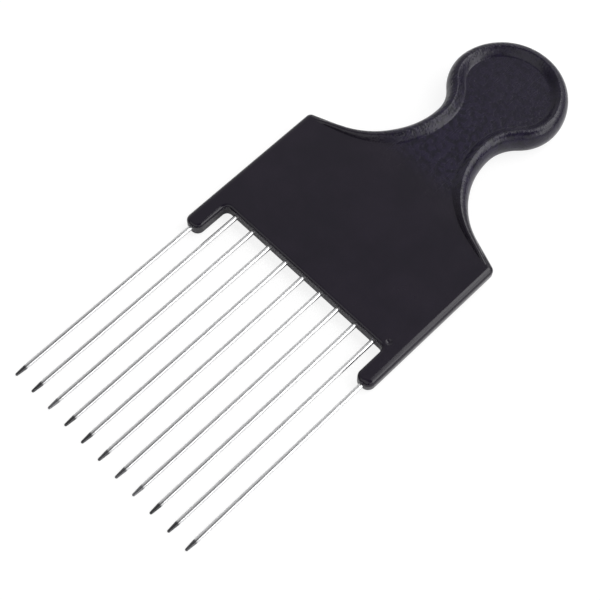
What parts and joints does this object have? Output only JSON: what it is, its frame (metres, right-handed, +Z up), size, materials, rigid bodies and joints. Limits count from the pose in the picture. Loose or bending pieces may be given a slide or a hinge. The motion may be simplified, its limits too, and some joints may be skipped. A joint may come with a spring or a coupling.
{
  "type": "afro pick",
  "caption": "Hair pick with long straight steel pins set in a flat moulded handle, whose shoulders narrow through a neck to a rimmed round grip.",
  "frame": {"origin": "on the plane that the back of the rim lies on, at the middle of the length and of the width", "axes": "X across the pins, +Y along the pins from their tips towards the round grip, +Z up out of the front face"},
  "size_m": [0.0682, 0.167, 0.0084],
  "materials": {
    "handle_plastic": "near-black moulded plastic, satin gloss, with a fine leather grain on the neck and the round grip",
    "pin_steel": "polished round steel wire with darker ground tips"
  },
  "bodies": {
    "root": {"handle": "handle_plastic", "pin_01": "pin_steel", "pin_02": "pin_steel", "pin_03": "pin_steel", "pin_04": "pin_steel", "pin_05": "pin_steel", "pin_06": "pin_steel", "pin_07": "pin_steel", "pin_08": "pin_steel", "pin_09": "pin_steel", "pin_10": "pin_steel", "pin_11": "pin_steel"}
  },
  "joints": []
}
